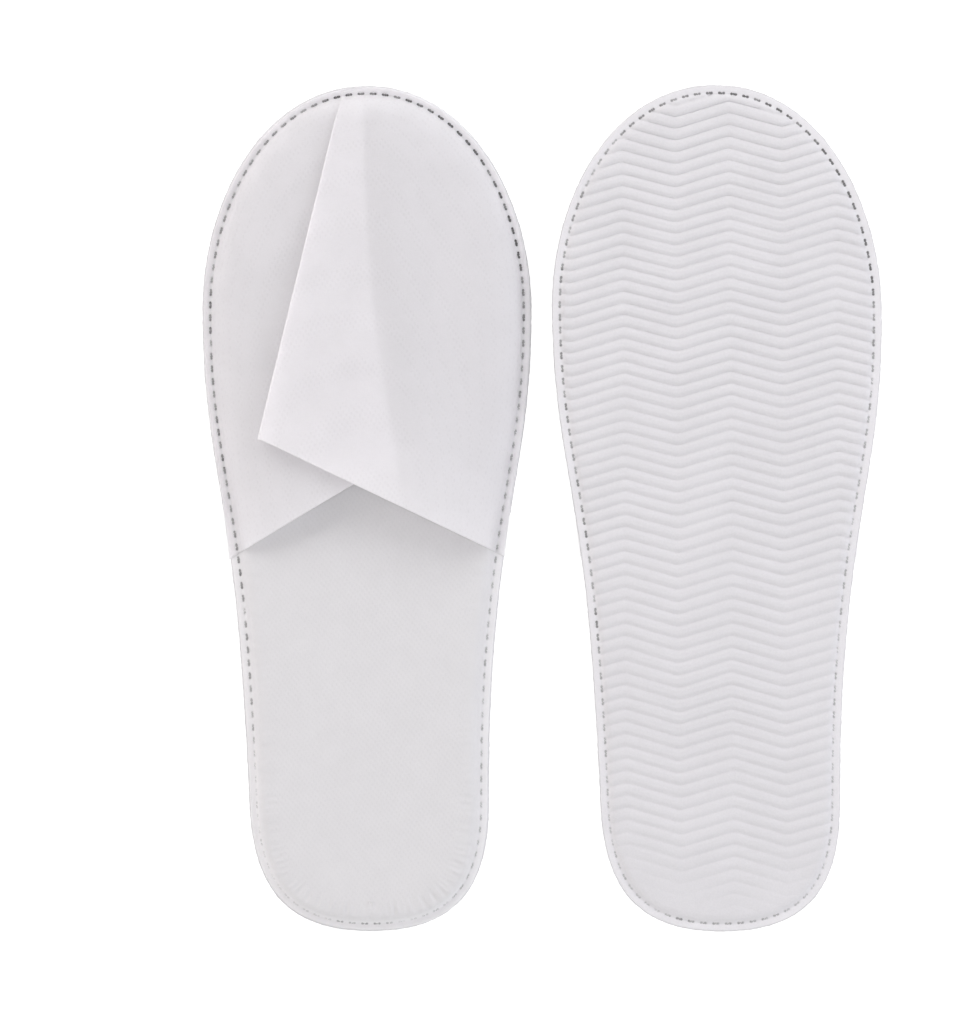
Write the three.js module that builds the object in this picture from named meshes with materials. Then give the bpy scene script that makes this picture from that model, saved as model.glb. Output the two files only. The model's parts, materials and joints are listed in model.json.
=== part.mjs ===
// A pair of disposable spa slippers: one stands on its sole, the other lies turned over beside it.
// Each is a foam outsole, a foam pad under a fabric footbed cover, and a pleated fabric upper,
// all sewn together through one flat edge. Millimetres; +Z is up, +Y points to the toes, +X is
// to the right, and the floor is z = 0. One slipper is modelled in its own frame, with its tread
// at z = 0 and its middle at x = y = 0, and then placed.

import * as THREE from "three";
import { mergeVertices } from "three/addons/utils/BufferGeometryUtils.js";

// Plan outline of the right half of one slipper, toe to heel: cubic curves, [x, y] each.
const TOE_CURVE = [[0, 142.5], [35, 142.5], [55.5, 104], [55.5, 67]];
const SIDE_CURVE = [[55.5, 67], [55.5, 9.6], [42.5, 4.1], [40.4, -100]];
const HEEL_CURVE = [[40.4, -100], [39.6, -126.3], [30.2, -142.5], [0, -142.5]];

// Stations are points evenly spaced round the outline, clockwise from the tip of the toe.
const STATIONS = 70;
const MOUTH_STATION = 19; // the upper reaches this many stations back from the toe on each side

// Cross-sections of the layers at the edge, outside to inside: [distance in from the edge, z].
const OUTSOLE_EDGE = [[4.5, 0], [3.6, 1.2], [0, 1.2], [0, 2.4]];
const PAD_EDGE = [[6, 2.7], [5.3, 3.1], [5.8, 4.7], [7, 5.45], [8.9, 5.7]];
const COVER_UNDERSIDE = [[0, 2.7], [4.2, 2.7], [4.8, 3.6], [5.3, 4.9], [6.6, 5.75], [8.6, 6]];
const COVER_TOP = [[0, 3.2], [3.9, 3.2], [4.35, 3.9], [4.85, 5.15], [6.4, 6.2], [8.6, 6.5]];
const MARGIN_UNDERSIDE = [[0, 3.5], [3.7, 3.5], [4.5, 5.35], [6.2, 6.5], [8, 6.8]];
const MARGIN_TOP = [[0, 4.1], [3.4, 4.1], [4, 5.6], [5.9, 7], [8, 7.35]];
const COVER_HEIGHT = 6.5; // top of the footbed cover

// Seam: a needle thread along the top of the flat edge and a bobbin thread along its underside.
const SEAM_INSET = 2.65;
const THREAD_RADIUS = 0.25;
const THREAD_SIDES = 6;
const NEEDLE_HEIGHT = 4.65; // on the upper's margin
const NEEDLE_HEIGHT_BARE = 3.75; // behind the upper, on the footbed cover
const BOBBIN_HEIGHT = 0.65;

// Upper: one sheet that starts just inside the margin and is folded into a flat Z pleat.
const FLAP_INSET = 8.35;
const FLAP_HEIGHT = 7.1; // middle of the fabric where it leaves the margin
const FABRIC = 0.5; // thickness
const LAYER_PITCH = 1.2; // from one layer of the pleat to the next
const TOP_FOLD_STATION = -1.25; // where the two folds meet the toe seam, in stations
const UNDER_FOLD_STATION = -0.2;
const TOP_FOLD_TIP = [-35.6, 23.1]; // where the two folds meet the mouth
const UNDER_FOLD_TIP = [10.5, 17];
const SHOULDER_STATION = 5; // side seams start here, the toe seam lies between
const DOME_RUN = 12; // distance from the seam over which the upper rises
const PLEAT_SHELF = 3; // the top layer stays on the pleat this far past the under fold
const PLEAT_FALL = 24; // and comes down to a single layer over this distance
const UNDER_COLUMNS = 8;
const MIDDLE_COLUMNS = 6;
const TOP_COLUMNS = 10;
const FOLD_STEPS = 4;
const ROWS = 14;

// How far each upper stands up at the toe and at the mouth.
const STANDING_LOFT = { toe: 4, mouth: 8.5 };
const TURNED_LOFT = { toe: 0.3, mouth: 0.6 };

// Placing: the pair lies side by side, and the turned one rests on its flattened upper
// with its heel sagging down to the floor.
const PAIR_PITCH = 118.3; // between the two centre lines
const TURNED_HEIGHT = FLAP_HEIGHT + 2 * LAYER_PITCH + FABRIC / 2 + TURNED_LOFT.mouth;
const HEEL_SAG = TURNED_HEIGHT - COVER_HEIGHT;
const SAG_RUN = 125; // the sag builds up over this length, from the middle to the heel

const FOAM = { color: 0xe8e6eb, roughness: 0.75, metalness: 0 };
const PAD_FOAM = { color: 0xf0efee, roughness: 0.9, metalness: 0 };
const NONWOVEN = { color: 0xe6e5e6, roughness: 0.85, metalness: 0 };
const THREAD = { color: 0xb4b3b6, roughness: 0.7, metalness: 0 };

const mirrored = ([x, y]) => [-x, y];
const lerp = (a, b, t) => a + (b - a) * t;

function addCurve(shape, curve) {
  const [, first, second, end] = curve;
  shape.bezierCurveTo(...first, ...second, ...end);
}

function outlineShape() {
  const right = [TOE_CURVE, SIDE_CURVE, HEEL_CURVE];
  const left = right.map((curve) => curve.map(mirrored).reverse()).reverse();
  const shape = new THREE.Shape();
  shape.moveTo(...TOE_CURVE[0]);
  [...right, ...left].forEach((curve) => addCurve(shape, curve));
  return shape;
}

const outline = outlineShape().getSpacedPoints(STATIONS).slice(0, STATIONS);
const inward = outline.map((_, i) => {
  const before = outline[(i + STATIONS - 1) % STATIONS];
  const after = outline[(i + 1) % STATIONS];
  const along = after.clone().sub(before).normalize();
  return new THREE.Vector2(along.y, -along.x);
});

// The point at a whole station, counted either way from the toe, moved in from the edge.
function stationPoint(station, inset) {
  const i = (station + STATIONS) % STATIONS;
  return outline[i].clone().addScaledVector(inward[i], inset);
}

// The same at any station, between whole ones along the straight chord.
function edgePoint(station, inset) {
  const whole = Math.floor(station);
  return stationPoint(whole, inset).lerp(stationPoint(whole + 1, inset), station - whole);
}

function ring(inset, z) {
  return outline.map((_, i) => {
    const p = stationPoint(i, inset);
    return new THREE.Vector3(p.x, p.y, z);
  });
}

function solidFrom(vertices, triangles) {
  const geometry = new THREE.BufferGeometry();
  const positions = vertices.flatMap((v) => [v.x, v.y, v.z]);
  geometry.setAttribute("position", new THREE.Float32BufferAttribute(positions, 3));
  geometry.setIndex(triangles);
  return mergeVertices(geometry, 1e-4);
}

// Two triangles across the four corners a-b-c-d, wound in that order.
function quad(a, b, c, d) {
  return [a, b, c, a, c, d];
}

// A closed sheet or slab: rings stacked from its underside round its rim to its top. The two end
// rings are closed by strips that run across the slipper from side to side.
function stackedSolid(profile) {
  const rings = profile.map(([inset, z]) => ring(inset, z));
  const vertices = rings.flat();
  const triangles = [];
  for (let level = 0; level + 1 < rings.length; level++) {
    for (let i = 0; i < STATIONS; i++) {
      const next = (i + 1) % STATIONS;
      const low = level * STATIONS;
      const high = low + STATIONS;
      triangles.push(...quad(low + i, high + i, high + next, low + next));
    }
  }
  const topRing = (rings.length - 1) * STATIONS;
  for (let i = 0; i < STATIONS / 2; i++) {
    const across = [i, i + 1, STATIONS - i - 1, (STATIONS - i) % STATIONS];
    const [a, b, c, d] = across;
    triangles.push(...quad(a, b, c, d));
    triangles.push(...quad(...[d, c, b, a].map((k) => topRing + k)));
  }
  return solidFrom(vertices, dropEmpty(triangles));
}

// Leaves out triangles that name one vertex twice, as the strips at the toe and heel do.
function dropEmpty(triangles) {
  const kept = [];
  for (let i = 0; i < triangles.length; i += 3) {
    const [a, b, c] = triangles.slice(i, i + 3);
    if (a !== b && b !== c && c !== a) kept.push(a, b, c);
  }
  return kept;
}

// Joins equal closed loops, one after another, into a skin. Each loop runs inwards along its
// underside and back outwards along its top, and the loops follow one another clockwise.
function loopSkin(loops, size, closed) {
  const triangles = [];
  const spans = closed ? loops : loops - 1;
  for (let i = 0; i < spans; i++) {
    const here = i * size;
    const ahead = ((i + 1) % loops) * size;
    for (let j = 0; j < size; j++) {
      const k = (j + 1) % size;
      triangles.push(...quad(here + j, ahead + j, ahead + k, here + k));
    }
  }
  return triangles;
}

// The upper's fixed margin: a strip of fabric that follows the edge from one mouth corner round
// the toe to the other. Its section is a chain along the underside and one back along the top.
function marginSolid() {
  const section = [...MARGIN_UNDERSIDE, ...MARGIN_TOP.toReversed()];
  const vertices = [];
  for (let station = -MOUTH_STATION; station <= MOUTH_STATION; station++) {
    for (const [inset, z] of section) {
      const p = stationPoint(station, inset);
      vertices.push(new THREE.Vector3(p.x, p.y, z));
    }
  }
  const loops = 2 * MOUTH_STATION + 1;
  const triangles = loopSkin(loops, section.length, false);
  const last = (loops - 1) * section.length;
  for (let j = 0; j + 1 < MARGIN_TOP.length; j++) {
    const [a, b] = [j, j + 1];
    const [c, d] = [section.length - 2 - j, section.length - 1 - j];
    triangles.push(...quad(a, b, c, d));
    triangles.push(...quad(...[d, c, b, a].map((k) => last + k)));
  }
  return solidFrom(vertices, triangles);
}

// A line of thread all round the seam, at the height that the function gives for each station.
function threadSolid(heightAt) {
  const vertices = [];
  for (let i = 0; i < STATIONS; i++) {
    for (let side = 0; side < THREAD_SIDES; side++) {
      const turn = (2 * Math.PI * side) / THREAD_SIDES;
      const p = stationPoint(i, SEAM_INSET + THREAD_RADIUS * Math.cos(turn));
      vertices.push(new THREE.Vector3(p.x, p.y, heightAt(i) + THREAD_RADIUS * Math.sin(turn)));
    }
  }
  return solidFrom(vertices, loopSkin(STATIONS, THREAD_SIDES, true));
}

function needleHeight(station) {
  const fromToe = Math.min(station, STATIONS - station);
  return fromToe <= MOUTH_STATION ? NEEDLE_HEIGHT : NEEDLE_HEIGHT_BARE;
}

// Distance in plan from a point to the seam that holds the upper.
const seam = [];
for (let station = -MOUTH_STATION; station <= MOUTH_STATION; station++) {
  const p = stationPoint(station, FLAP_INSET);
  seam.push(new THREE.Vector3(p.x, p.y, 0));
}

function distanceToSeam(point) {
  const flat = new THREE.Vector3(point.x, point.y, 0);
  const nearest = new THREE.Vector3();
  let least = Infinity;
  for (let i = 0; i + 1 < seam.length; i++) {
    new THREE.Line3(seam[i], seam[i + 1]).closestPointToPoint(flat, true, nearest);
    least = Math.min(least, nearest.distanceTo(flat));
  }
  return least;
}

// Height of the upper's lowest layer above a point of the plan.
function domeHeight(point, loft) {
  const toeY = seam[MOUTH_STATION].y;
  const mouthY = seam[0].y;
  const back = THREE.MathUtils.smoothstep(toeY - point.y, 0, toeY - mouthY);
  const rise = 1 - Math.exp(-distanceToSeam(point) / DOME_RUN);
  return FLAP_HEIGHT + lerp(loft.toe, loft.mouth, back) * rise;
}

const lineBetween = (from, to) => (t) => from.clone().lerp(to, t);
const seamBetween = (from, to) => (t) => edgePoint(lerp(from, to, t), FLAP_INSET);

// A patch in plan that fills the space between four edges: u runs from left to right, v from the
// toe to the mouth.
function patchPoint({ toe, mouth, left, right }, u, v) {
  const across = toe(u).lerp(mouth(u), v);
  const along = left(v).lerp(right(v), u);
  const toeChord = toe(0).lerp(toe(1), u);
  const mouthChord = mouth(0).lerp(mouth(1), u);
  return across.add(along).sub(toeChord.lerp(mouthChord, v));
}

const underFold = lineBetween(
  edgePoint(UNDER_FOLD_STATION, FLAP_INSET),
  new THREE.Vector2(...UNDER_FOLD_TIP),
);
const topFold = lineBetween(
  edgePoint(TOP_FOLD_STATION, FLAP_INSET),
  new THREE.Vector2(...TOP_FOLD_TIP),
);
const leftSeam = seamBetween(-SHOULDER_STATION, -MOUTH_STATION);
const rightSeam = seamBetween(SHOULDER_STATION, MOUTH_STATION);

const underLayer = {
  toe: seamBetween(-SHOULDER_STATION, UNDER_FOLD_STATION),
  mouth: lineBetween(leftSeam(1), underFold(1)),
  left: leftSeam,
  right: underFold,
};
const middleLayer = {
  toe: seamBetween(UNDER_FOLD_STATION, TOP_FOLD_STATION),
  mouth: lineBetween(underFold(1), topFold(1)),
  left: underFold,
  right: topFold,
};
const topLayer = {
  toe: seamBetween(TOP_FOLD_STATION, SHOULDER_STATION),
  mouth: lineBetween(topFold(1), rightSeam(1)),
  left: topFold,
  right: rightSeam,
};

// How much of the pleat's height the top layer still has at a point: all of it over the pleat,
// none of it where it lies alone.
function pleatShare(point, v) {
  const past = point.x - underFold(v).x - PLEAT_SHELF;
  const edgeFade = Math.min(1, distanceToSeam(point) / DOME_RUN);
  const share = 1 - THREE.MathUtils.smoothstep(past, 0, PLEAT_FALL);
  return past <= 0 ? 1 : share * edgeFade;
}

function layerRow(patch, columns, v, loft, liftAt) {
  const row = [];
  for (let i = 0; i <= columns; i++) {
    const p = patchPoint(patch, i / columns, v);
    row.push(new THREE.Vector3(p.x, p.y, domeHeight(p, loft) + liftAt(p)));
  }
  return row;
}

// The half turn at a fold, between the layer that ends there and the one that starts above it.
function foldRow(foldPoint, side, lift, loft) {
  const radius = LAYER_PITCH / 2;
  const middle = domeHeight(foldPoint, loft) + lift + radius;
  const row = [];
  for (let i = 1; i < FOLD_STEPS; i++) {
    const turn = Math.PI * (i / FOLD_STEPS - 0.5);
    const x = foldPoint.x + side * radius * Math.cos(turn);
    row.push(new THREE.Vector3(x, foldPoint.y, middle + radius * Math.sin(turn)));
  }
  return row;
}

// One row of the sheet's middle surface, from the left seam through both folds to the right seam.
function sheetRow(v, loft) {
  const topLift = (p) => 2 * LAYER_PITCH * pleatShare(p, v);
  return [
    ...layerRow(underLayer, UNDER_COLUMNS, v, loft, () => 0),
    ...foldRow(underFold(v), 1, 0, loft),
    ...layerRow(middleLayer, MIDDLE_COLUMNS, v, loft, () => LAYER_PITCH),
    ...foldRow(topFold(v), -1, LAYER_PITCH, loft),
    ...layerRow(topLayer, TOP_COLUMNS, v, loft, topLift),
  ];
}

// Gives a grid of points thickness along its own normals and closes it all round.
function thickSheet(grid, thickness) {
  const rows = grid.length;
  const columns = grid[0].length;
  const faces = [1, -1].map((side) =>
    grid.flatMap((row, r) =>
      row.map((point, c) => {
        const along = grid[Math.min(r + 1, rows - 1)][c].clone();
        along.sub(grid[Math.max(r - 1, 0)][c]);
        const across = row[Math.min(c + 1, columns - 1)].clone();
        across.sub(row[Math.max(c - 1, 0)]);
        const normal = along.cross(across).normalize();
        return point.clone().addScaledVector(normal, (side * thickness) / 2);
      }),
    ),
  );
  const upper = (r, c) => r * columns + c;
  const under = (r, c) => rows * columns + upper(r, c);
  const triangles = [];
  for (let r = 0; r + 1 < rows; r++) {
    for (let c = 0; c + 1 < columns; c++) {
      triangles.push(...quad(upper(r, c), upper(r + 1, c), upper(r + 1, c + 1), upper(r, c + 1)));
      triangles.push(...quad(under(r, c), under(r, c + 1), under(r + 1, c + 1), under(r + 1, c)));
    }
    const last = columns - 1;
    triangles.push(...quad(upper(r, 0), under(r, 0), under(r + 1, 0), upper(r + 1, 0)));
    triangles.push(...quad(upper(r, last), upper(r + 1, last), under(r + 1, last), under(r, last)));
  }
  for (let c = 0; c + 1 < columns; c++) {
    const last = rows - 1;
    triangles.push(...quad(upper(0, c), upper(0, c + 1), under(0, c + 1), under(0, c)));
    triangles.push(...quad(upper(last, c), under(last, c), under(last, c + 1), upper(last, c + 1)));
  }
  return solidFrom(faces.flat(), triangles);
}

function flapSolid(loft) {
  const grid = [];
  for (let r = 0; r <= ROWS; r++) grid.push(sheetRow(r / ROWS, loft));
  return thickSheet(grid, FABRIC);
}

// Bends a piece of the turned slipper so that its heel end hangs lower.
function sagHeel(geometry) {
  const positions = geometry.attributes.position;
  for (let i = 0; i < positions.count; i++) {
    const share = THREE.MathUtils.smoothstep(-positions.getY(i), 0, SAG_RUN);
    positions.setZ(i, positions.getZ(i) + HEEL_SAG * share);
  }
  return geometry;
}

function piece(name, geometry, finish) {
  const mesh = new THREE.Mesh(geometry, new THREE.MeshStandardMaterial(finish));
  mesh.name = name;
  return mesh;
}

function slipper(prefix, loft, shapeOf) {
  const cover = [...COVER_UNDERSIDE.toReversed(), ...COVER_TOP];
  const pieces = [
    ["outsole", stackedSolid(OUTSOLE_EDGE), FOAM],
    ["footbed_pad", stackedSolid(PAD_EDGE), PAD_FOAM],
    ["footbed_cover", stackedSolid(cover), NONWOVEN],
    ["upper_margin", marginSolid(), NONWOVEN],
    ["upper_flap", flapSolid(loft), NONWOVEN],
    ["needle_thread", threadSolid(needleHeight), THREAD],
    ["bobbin_thread", threadSolid(() => BOBBIN_HEIGHT), THREAD],
  ];
  const group = new THREE.Group();
  for (const [name, geometry, finish] of pieces) {
    group.add(piece(`${prefix}_${name}`, shapeOf(geometry), finish));
  }
  return group;
}

const standing = slipper("standing", STANDING_LOFT, (geometry) => geometry);
standing.position.x = -PAIR_PITCH / 2;

const turned = slipper("turned", TURNED_LOFT, sagHeel);
turned.rotation.y = Math.PI;
turned.position.set(PAIR_PITCH / 2, 0, TURNED_HEIGHT);

const pair = new THREE.Group();
pair.add(standing, turned);

export default pair;
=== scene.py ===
"""Looks of a pair of disposable spa slippers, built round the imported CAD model.

One slipper stands on its sole and the other lies turned over. Both are modelled in a slipper's own frame,
in millimetres: x across, y to the toes, z up from the tread, with the middle of the sole at x = y = 0.
Slipper.place() then carries each point to where the CAD model has that slipper, in metres.
"""

import json
import math

import bpy
import numpy as np
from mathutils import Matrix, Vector, kdtree

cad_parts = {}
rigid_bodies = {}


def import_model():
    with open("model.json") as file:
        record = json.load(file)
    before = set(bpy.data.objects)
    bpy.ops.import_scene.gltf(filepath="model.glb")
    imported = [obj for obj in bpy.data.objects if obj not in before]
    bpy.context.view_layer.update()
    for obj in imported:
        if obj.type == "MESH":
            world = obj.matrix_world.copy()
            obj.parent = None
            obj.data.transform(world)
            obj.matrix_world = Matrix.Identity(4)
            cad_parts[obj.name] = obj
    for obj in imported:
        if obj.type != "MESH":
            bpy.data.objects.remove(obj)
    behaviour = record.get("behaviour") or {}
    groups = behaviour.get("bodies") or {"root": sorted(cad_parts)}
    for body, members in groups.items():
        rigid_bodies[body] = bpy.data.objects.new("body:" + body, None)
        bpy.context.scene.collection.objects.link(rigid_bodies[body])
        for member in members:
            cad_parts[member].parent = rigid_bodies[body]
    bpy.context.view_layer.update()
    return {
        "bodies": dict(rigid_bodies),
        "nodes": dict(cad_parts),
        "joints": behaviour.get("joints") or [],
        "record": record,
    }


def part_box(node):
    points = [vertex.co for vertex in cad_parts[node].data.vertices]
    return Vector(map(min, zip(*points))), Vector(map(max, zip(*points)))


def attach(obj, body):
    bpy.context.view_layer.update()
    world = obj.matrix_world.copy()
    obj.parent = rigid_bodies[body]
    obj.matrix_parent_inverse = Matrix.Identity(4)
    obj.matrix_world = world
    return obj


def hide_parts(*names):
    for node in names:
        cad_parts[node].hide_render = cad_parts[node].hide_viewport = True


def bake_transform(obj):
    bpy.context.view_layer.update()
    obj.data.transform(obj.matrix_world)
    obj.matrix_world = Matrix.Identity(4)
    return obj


MM = 0.001
SEED = 7

# Placing: real slippers are a little lopsided, and the turned one sinks towards its heel.
HEEL_DRIFT = 1.3
TOE_DRIFT = 1.0
HEEL_SAG = 3.6
HEEL_SAG_RUN = 125

# Half of the plan outline, toe to heel: cubic curves, in half widths and half lengths.
TOE_CURVE = [(0, 1), (0.6306, 1), (1, 0.7298), (1, 0.4702)]
SIDE_CURVE = [(1, 0.4702), (1, 0.0674), (0.7658, 0.0288), (0.7279, -0.7018)]
HEEL_CURVE = [(0.7279, -0.7018), (0.7135, -0.8863), (0.5441, -1), (0, -1)]

# Seam
STITCHES = 156
SEAM_INSET = 2.65
DASH = 1.6  # between the needle holes of one stitch
PLY_RADIUS = 0.25
PLY_TWIST = 1.9  # length of one turn of the thread's two plies
THREADS_MEET = 1.85  # height, inside the layers, of both threads between stitches
STEPS_PER_STITCH = 10  # stations of the fine meshes in one stitch

# Edge profiles of the layers' middle surfaces: (distance in from the edge, height).
FLANGE_UNDER = 1.2
FLANGE_TOP = 2.4
FOOTBED_RISE = [
    (0, 2.62), (2.2, 2.6), (2.9, 2.55), (3.5, 2.95), (4.3, 4.3), (5.4, 5.5), (7.5, 6.1), (11, 6.3),
]
UPPER_RISE = [
    (0, 3.0), (2.2, 2.98), (2.9, 2.93), (3.45, 3.35), (4.1, 4.7), (5.2, 5.9), (7, 6.6), (9.5, 6.9),
]
FOOTBED_FABRIC = 0.4
UPPER_FABRIC = 0.3
FOOTBED_SEAM_TOP = 2.57 + FOOTBED_FABRIC / 2
UPPER_SEAM_TOP = 2.95 + UPPER_FABRIC / 2

# Tread
RIDGE_PITCH = 4.04
RIDGE_STRETCH = 0.0061  # ridges to the millimetre more in the toe half, and fewer in the heel half
RIDGE_OFFSET = 0.4
RIDGE_TILT = 0.018
RIDGE_DEPTH = 0.93
ZIGZAG_PERIOD = 35.9
ZIGZAG_HEIGHT = 4.9
ZIGZAG_SHIFT = -4.4
TREAD_FADE = (112, 143)  # the embossing dies out between these distances towards the heel

# How plainly the stitches show, from the toe clockwise: they lie deepest in the layers round the heel. The
# same numbers set the painted shade on the thread and in the needle holes, darkest where the stitches show
# most.
STITCH_SHOW = [
    (0, 0.8), (0.04, 1), (0.12, 1), (0.155, 0.6), (0.19, 0.4), (0.25, 0.34), (0.42, 0.26), (0.47, 0.3),
    (0.5, 0.45), (0.55, 0.25), (0.6, 0.25), (0.66, 0.42), (0.7, 0.52), (0.85, 0.55), (0.93, 0.45), (1, 0.8),
]
SHOW_CHANGE = 0.4  # and how much that changes from stitch to stitch

# Cloth strip beside the seam of the footbed, simulated ten times life size
STRIP_INSETS = [3.0, 3.4, 3.9, 4.4, 5.0, 5.7, 6.5, 7.4, 8.5, 10.0]
STRIP_STEPS = 4
STRIP_SPARE = 0.02
STRIP_PRESSURE = 4.0
STRIP_FRAMES = 20
STRIP_CAP = 0.3
CLOTH_SCALE = 0.01

# Upper
CORNER = 42.5 / 156  # mouth corners, as a share of the way round from the tip of the toe
UNDER_FOLD = (-0.3 / 156, (10.5, 17.0))
UNDER_BOW = 3.3  # how far the under fold bows to the left of a straight line
TOP_FOLD = (-2.85 / 156, (-35.6, 23.1))
SEAM_FOOT = 8.35  # where the flat rows of the sheet start, in from the edge
UPPER_ROWS = 336
FOLD_GAPS = ((0.45, 2.0), (0.4, 1.5))  # between layers at the toe, and how much more at the mouth
PRESSED_GAPS = ((0.45, 0.6), (0.4, 0.6))  # the same for the slipper that lies on its upper
STANDING_LOFT = (4.0, 9.4)  # rise of the upper over its seam, behind the toe and at the mouth
TURNED_LOFT = (0.3, 0.6)

# Colours. The upper is nearly clear of pigment: what passes through it comes back from the footbed.
FOOTBED_WHITE = (0.648, 0.64, 0.652)
UPPER_WHITE = (0.954, 0.947, 0.957)
UPPER_SEE_THROUGH = 0.62
LAYERS_PAINTED_WHITER = 0.033  # painted light: the upper is coloured this much whiter where three layers of it lie on each other, for the light the stacked layers send back
FOAM_WHITE = (0.652, 0.642, 0.66)
SPONGE_WHITE = (0.8, 0.8, 0.78)
# Painted shade: the needle holes, and the thread where the stitches show most, are coloured dark for the
# shade in the holes and the dips of the seam.
HOLE_SHADE = (0.1, 0.1, 0.1)
THREAD_SHADE = (0.17, 0.17, 0.17)
THREAD_LIGHT = (0.62, 0.62, 0.62)

# Camera and surroundings, in metres
CAMERA_OVER = (-0.0219, -0.0005)
CAMERA_HEIGHT = 3.0
VIEW_HEIGHT = 0.34425
SENSOR = 36
SKY_STRENGTH = 0.29
LIGHTS = [  # name, place, size, watts and tint
    ("top_light", (0.0, 0.0, 3.4), (1.0, 1.0), 20.8, (1.0, 1.0, 1.0)),
    ("toe_light", (-0.3, 1.6, 1.2), (2.4, 1.0), 18, (1.0, 0.99, 0.99)),
    ("heel_light", (0.2, -1.7, 0.9), (2.2, 1.0), 5.4, (1.0, 1.0, 1.0)),
    ("left_light", (-0.9, 0.1, 0.55), (1.0, 0.6), 2.3, (1.0, 0.88, 0.86)),
    ("right_light", (0.9, 0.05, 0.55), (1.0, 0.6), 3.4, (0.9, 0.91, 1.0)),
]
FLOOR_REACH = 6.0
FLOOR_GAP = 0.0002  # below the slippers
FLOOR_GREY = (0.3, 0.3, 0.3)
FLOOR_GLOW = 0.8
WALL_RADIUS = 5.0
WALL_HEIGHT = 3.0
WALL_SIDES = 64


def hermite(points):
    """A smooth curve through the points that never overshoots them, as a function of the first number."""
    xs, ys = np.array(points, float).T
    slopes = np.diff(ys) / np.diff(xs)
    tangents = np.zeros(len(xs))
    same = slopes[:-1] * slopes[1:] > 0
    pairs = 2 * slopes[:-1] * slopes[1:] / np.where(same, slopes[:-1] + slopes[1:], 1)
    tangents[1:-1] = np.where(same, pairs, 0)

    def curve(x):
        x = np.clip(x, xs[0], xs[-1])
        i = np.clip(np.searchsorted(xs, x, side="right") - 1, 0, len(xs) - 2)
        width = xs[i + 1] - xs[i]
        t = (x - xs[i]) / width
        rise = ys[i + 1] - ys[i]
        a = width * tangents[i]
        b = width * tangents[i + 1]
        return ys[i] + t * (a + t * (3 * rise - 2 * a - b + t * (a + b - 2 * rise)))

    return curve


def smoothstep(x, low, high):
    t = np.clip((np.asarray(x, float) - low) / (high - low), 0, 1)
    return t * t * (3 - 2 * t)


def mix(a, b, t):
    return a + (b - a) * t


class Waves:
    """Smooth irregular ups and downs over the plan, between about -1 and 1: a sum of seeded sine waves."""

    def __init__(self, seed, shortest, longest, count=7):
        rng = np.random.default_rng(seed)
        lengths = np.geomspace(shortest, longest, count)
        turns = rng.uniform(0, math.pi, count)
        self.waves = 2 * math.pi / lengths[:, None] * np.column_stack([np.cos(turns), np.sin(turns)])
        self.phases = rng.uniform(0, 2 * math.pi, count)
        self.weights = np.sqrt(lengths / lengths.sum())

    def __call__(self, xy):
        return np.sin(xy @ self.waves.T + self.phases) @ self.weights / 1.6


class EdgeWaves:
    """The same along the edge of a slipper, and periodic round it. Takes shares of the way round."""

    def __init__(self, seed, lowest, highest, count=8):
        rng = np.random.default_rng(seed)
        self.orders = np.unique(np.geomspace(lowest, highest, count).astype(int))
        self.phases = rng.uniform(0, 2 * math.pi, len(self.orders))

    def __call__(self, share):
        angles = 2 * math.pi * np.multiply.outer(share, self.orders) + self.phases
        return np.sin(angles).sum(-1) / math.sqrt(len(self.orders)) / 1.4


class Plan:
    """The outline of a slipper in plan, followed clockwise from the tip of the toe."""

    SAMPLES = 700

    def __init__(self, half_width, half_length):
        scale = np.array([half_width, half_length])
        right = [np.array(curve) * scale for curve in (TOE_CURVE, SIDE_CURVE, HEEL_CURVE)]
        left = [curve[::-1] * (-1, 1) for curve in right[::-1]]
        t = np.linspace(0, 1, self.SAMPLES, endpoint=False)[:, None]
        spans = [
            (1 - t) ** 3 * a + 3 * (1 - t) ** 2 * t * b + 3 * (1 - t) * t**2 * c + t**3 * d
            for a, b, c, d in right + left
        ]
        self.dense = np.vstack(spans)
        closed = np.vstack([self.dense, self.dense[:1]])
        lengths = np.hypot(*np.diff(closed, axis=0).T)
        self.arcs = np.concatenate([[0], np.cumsum(lengths)])
        self.perimeter = self.arcs[-1]
        self.closed = closed
        self.tree = kdtree.KDTree(len(self.dense))
        for i, (x, y) in enumerate(self.dense):
            self.tree.insert((x, y, 0), i)
        self.tree.balance()

    def on_edge(self, share):
        arc = np.mod(share, 1) * self.perimeter
        return np.stack([np.interp(arc, self.arcs, self.closed[:, k]) for k in (0, 1)], -1)

    def inward(self, share):
        step = 1.5 / self.perimeter
        along = self.on_edge(share + step) - self.on_edge(share - step)
        along /= np.linalg.norm(along, axis=-1, keepdims=True)
        return np.stack([along[..., 1], -along[..., 0]], -1)

    def at(self, share, inset):
        return self.on_edge(share) + self.inward(share) * np.asarray(inset, float)[..., None]

    def locate(self, xy):
        """(share of the way round, distance in from the edge) of points in plan."""
        nearest = np.array([self.tree.find((x, y, 0))[1] for x, y in xy])
        share, inset = np.zeros(len(xy)), np.full(len(xy), np.inf)
        for first in ((nearest - 1) % len(self.dense), nearest):
            start, run = self.closed[first], self.closed[first + 1] - self.closed[first]
            t = np.clip(((xy - start) * run).sum(1) / (run * run).sum(1), 0, 1)
            away = np.linalg.norm(xy - start - t[:, None] * run, axis=1)
            arc = mix(self.arcs[first], self.arcs[first + 1], t)
            share = np.where(away < inset, arc / self.perimeter, share)
            inset = np.minimum(away, inset)
        return share, inset


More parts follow.
